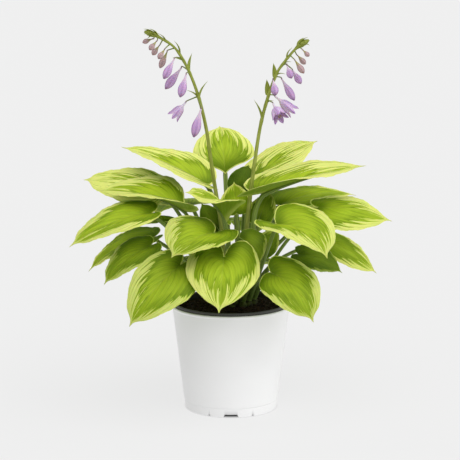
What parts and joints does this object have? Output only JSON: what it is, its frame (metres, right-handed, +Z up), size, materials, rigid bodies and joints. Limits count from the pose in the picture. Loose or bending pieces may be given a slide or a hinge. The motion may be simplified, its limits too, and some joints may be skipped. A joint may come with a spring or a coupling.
{
  "type": "potted hosta plant",
  "caption": "Potted hosta with heart-shaped, cream-edged green leaves on arching stalks and leaning stems of lavender bells, in a plain white nursery pot around a dark inner pot.",
  "frame": {"origin": "centre of the pot's foot, on the surface it stands on", "axes": "+Z up, -Y towards the viewer, +X to the viewer's right, with the two flower stems leaning to -X and +X"},
  "size_m": [0.442, 0.307, 0.532],
  "materials": {
    "white_plastic": "smooth white injection-moulded plastic, satin sheen",
    "black_plastic": "matt black plastic",
    "potting_soil": "dark moist bark and peat mix",
    "crown_fibre": "fibrous stalk bases",
    "leaf_green": "soft satin leaf, green centre with a pale yellow-green edge",
    "stem_green": "satin olive stem",
    "petal_lavender": "soft lavender petals, paler at the tube"
  },
  "bodies": {
    "root": {"outer_pot": "white_plastic", "inner_pot": "black_plastic", "soil": "potting_soil", "crown": "crown_fibre", "leaf_top_centre": "leaf_green", "leaf_upper_left": "leaf_green", "leaf_upper_right_back": "leaf_green", "leaf_upper_right": "leaf_green", "leaf_far_left": "leaf_green", "leaf_left": "leaf_green", "leaf_left_middle": "leaf_green", "leaf_left_low": "leaf_green", "leaf_left_lower_front": "leaf_green", "leaf_front_left_bottom": "leaf_green", "leaf_front_left": "leaf_green", "leaf_front_centre": "leaf_green", "leaf_front_right_bottom": "leaf_green", "leaf_front_right": "leaf_green", "leaf_far_right": "leaf_green", "leaf_right_back": "leaf_green", "leaf_right_low_dark": "leaf_green", "leaf_right_low": "leaf_green", "leaf_behind_front": "leaf_green", "leaf_inner_front": "leaf_green", "leaf_inner_tip": "leaf_green", "leaf_inner_right": "leaf_green", "leaf_inner_back": "leaf_green", "leaf_inner_left": "leaf_green", "leaf_inner_low_right": "leaf_green", "leaf_inner_shade": "leaf_green", "leaf_back_centre": "leaf_green", "leaf_back_right": "leaf_green", "leaf_back_far_right": "leaf_green", "leaf_back_left": "leaf_green", "leaf_back_far_left": "leaf_green", "leaf_back_low": "leaf_green", "leaf_back_low_right": "leaf_green", "leaf_back_low_left": "leaf_green", "flower_stem_left": "stem_green", "flower_stem_right": "stem_green", "bud_left_1": "petal_lavender", "flower_left_2": "petal_lavender", "bud_left_3": "petal_lavender", "bud_left_4": "petal_lavender", "bud_left_5": "petal_lavender", "bud_left_6": "petal_lavender", "bud_left_7": "petal_lavender", "bud_left_8": "petal_lavender", "bud_left_9": "petal_lavender", "bud_left_10": "petal_lavender", "flower_right_1": "petal_lavender", "flower_right_2": "petal_lavender", "bud_right_3": "petal_lavender", "bud_right_4": "petal_lavender", "bud_right_5": "petal_lavender", "bud_right_6": "petal_lavender", "bud_right_7": "petal_lavender", "bud_right_8": "petal_lavender", "bud_right_9": "petal_lavender"}
  },
  "joints": []
}
